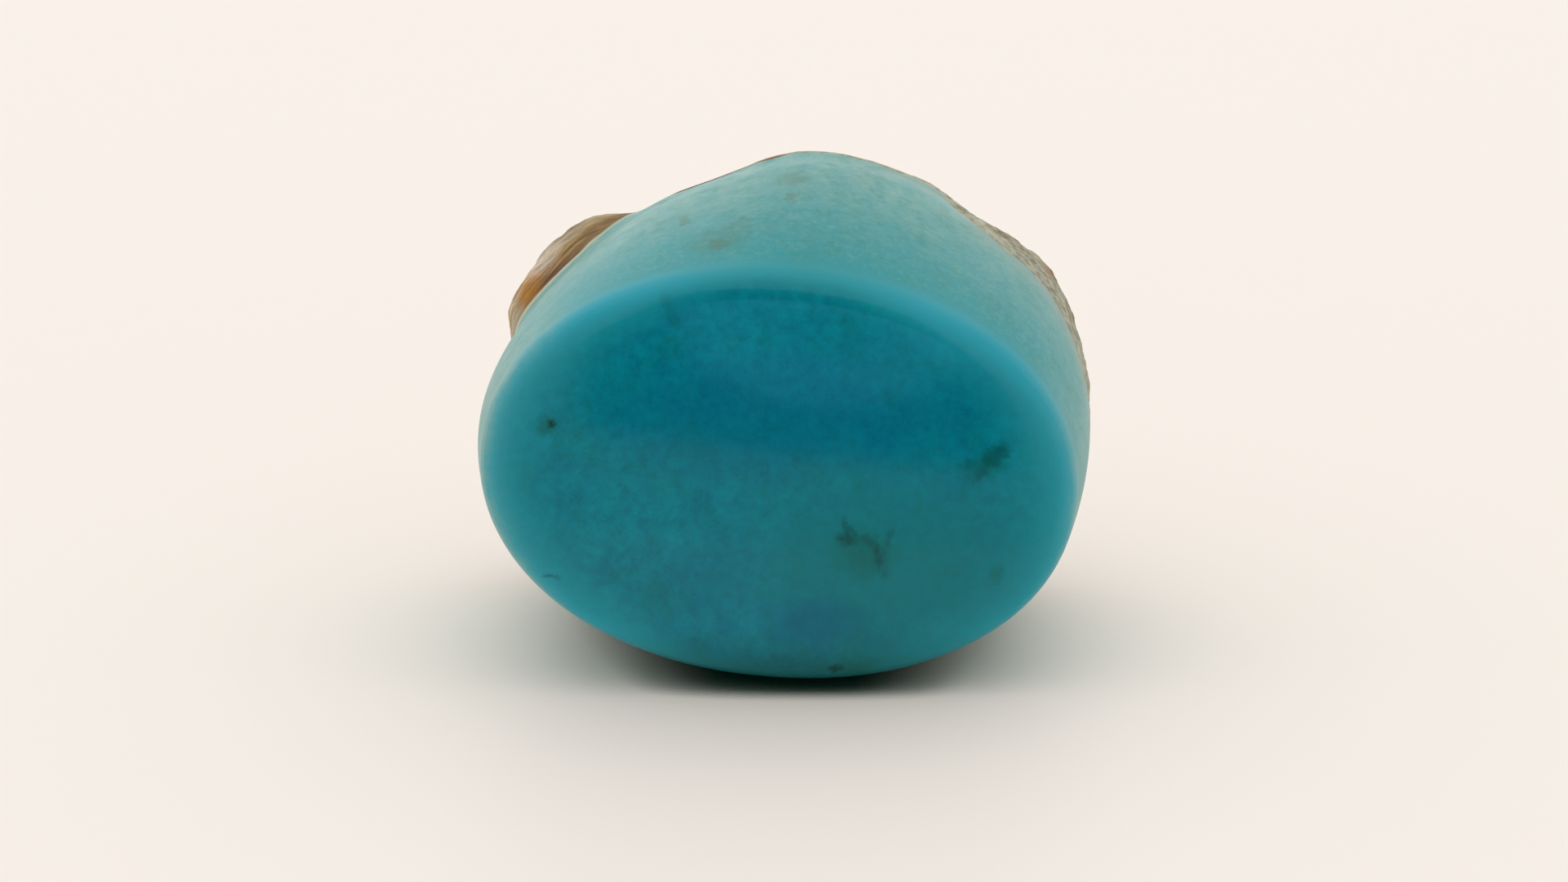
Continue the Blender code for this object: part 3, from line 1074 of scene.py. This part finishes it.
def polish(tree, in_mm, behind_dome, in_rind):
    """Roughness: a clear gloss on the dome, satin on the ground sides, dull on the rind, a little uneven."""
    ground = add_node(
        tree,
        "ShaderNodeMapRange",
        {
            "Value": behind_dome,
            **ends("From", POLISH_ENDS),
            **ends("To", (DOME_ROUGHNESS, SIDE_ROUGHNESS)),
        },
        interpolation_type="SMOOTHSTEP",
    )
    smears = add_node(tree, "ShaderNodeTexNoise", {"Vector": in_mm, **SMEAR_NOISE}, give="Fac")
    smears = add_node(tree, "ShaderNodeMapRange", {"Value": smears, **ends("To", SMEARS)})
    ground = add_node(tree, "ShaderNodeMath", {0: ground, 1: smears}, operation="MULTIPLY")
    return add_node(
        tree, "ShaderNodeMapRange", {"Value": in_rind, "To Min": ground, "To Max": RIND_ROUGHNESS}
    )


print("roughness", DOME_ROUGHNESS, "on the dome and", RIND_ROUGHNESS, "on the rind")

# %% Grinding waves and grit

WAVE_NOISE = {"Scale": 1 / 0.9, "Detail": 2.0}  # waves of 0.9 mm
WAVES_START = (0.2, 2.0)  # mm behind the dome
WAVE_HEIGHT = 0.010  # mm
GRIT_NOISE = {"Scale": 1 / 0.22, "Detail": 4.0}  # grit of 0.22 mm
GRIT_STARTS = (0.0, 0.8)  # mm past the rind's edge
GRIT_HEIGHT = 0.05


def fine_relief(tree, in_mm, behind_dome, past_edge):
    """What is too fine for the mesh: the waves that the grinding left on the sides, and the rind's grit."""
    total = 0.0
    layers = (
        (WAVE_NOISE, behind_dome, WAVES_START, WAVE_HEIGHT),
        (GRIT_NOISE, past_edge, GRIT_STARTS, GRIT_HEIGHT),
    )
    for noise, measure, starts, height in layers:
        bumps = add_node(tree, "ShaderNodeTexNoise", {"Vector": in_mm, **noise}, give="Fac")
        rise = add_node(
            tree, "ShaderNodeMapRange", {"Value": measure, **ends("From", starts), "To Max": height}
        )
        bumps = add_node(tree, "ShaderNodeMath", {0: bumps, 1: rise}, operation="MULTIPLY")
        total = add_node(tree, "ShaderNodeMath", {0: total, 1: bumps}, operation="ADD")
    return add_node(tree, "ShaderNodeBump", {"Height": total, "Distance": MM, "Strength": 1.0})


print("waves", WAVE_HEIGHT, "mm high, grit", GRIT_HEIGHT, "mm")

# %% The colours of the whole stone

MARKINGS = (
    (GREEN_CLOUDS, LOWER_GREEN),
    (DEEP_CLOUDS, DEEP_BLUE),
    (SIDE_STAINS, SIDE_STAIN),
    (STAINS, STAIN_OLIVE),
    (FLECKS, FLECK_DARK),
)


def stone_colours(tree, in_mm, past_edge):
    """Turquoise with its markings, and rind past the edge. Also gives the rind's share."""
    body = turquoise_colour(tree, in_mm)
    body = with_ground_colours(tree, body)
    body = with_chalk(tree, body, in_mm)
    body = with_painted_foot_shade(tree, body, in_mm)
    dome_place = on_the_dome(tree, in_mm)
    for spots, spot_colour in MARKINGS:
        body = with_spots(tree, body, dome_place, spots, spot_colour)
    rind = rind_colour(tree, in_mm, past_edge)
    return joined_colours(tree, body, rind, in_mm, past_edge)


print(len(MARKINGS), "kinds of markings")

# %% The material

TURQUOISE_IOR = 1.61
WAXY_GLOSS = 0.16  # weaker than the IOR alone gives, as the photograph shows it
GLOW_THROUGH = 0.3  # the share of the light that goes in and comes out again
GLOW_REACH = 0.8 * MM
GLOW_COLOURS = (0.25, 0.9, 1.0)  # how far red, green and blue go, as shares of that


def turquoise_with_rind():
    """Turquoise and limonite, ground and polished in front: waxy, slightly translucent, weakly glossy."""
    material = bpy.data.materials.new("turquoise and limonite rind")
    material.use_nodes = True
    tree = material.node_tree
    shader = tree.nodes["Principled BSDF"]
    place = add_node(tree, "ShaderNodeTexCoord", give="Object")
    in_mm = add_node(tree, "ShaderNodeVectorMath", {0: place, 3: 1 / MM}, operation="SCALE")
    past_edge = add_node(tree, "ShaderNodeAttribute", give="Fac", attribute_name="past_rind_edge")
    behind_dome = add_node(tree, "ShaderNodeAttribute", give="Fac", attribute_name="behind_dome")
    colour, in_rind = stone_colours(tree, in_mm, past_edge)

    tree.links.new(colour, shader.inputs["Base Color"])
    tree.links.new(polish(tree, in_mm, behind_dome, in_rind), shader.inputs["Roughness"])
    tree.links.new(fine_relief(tree, in_mm, behind_dome, past_edge), shader.inputs["Normal"])
    shader.inputs["IOR"].default_value = TURQUOISE_IOR
    shader.inputs["Specular IOR Level"].default_value = WAXY_GLOSS
    shader.inputs["Subsurface Weight"].default_value = GLOW_THROUGH
    shader.inputs["Subsurface Radius"].default_value = GLOW_COLOURS
    shader.inputs["Subsurface Scale"].default_value = GLOW_REACH
    return material


finish = turquoise_with_rind()
stone.data.materials.clear()
stone.data.materials.append(finish)
print("material:", finish.name, "with", len(finish.node_tree.nodes), "nodes")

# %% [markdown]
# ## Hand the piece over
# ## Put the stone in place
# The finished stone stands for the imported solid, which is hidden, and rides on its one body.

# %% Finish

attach(stone, "root")
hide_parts(STONE_NODE)
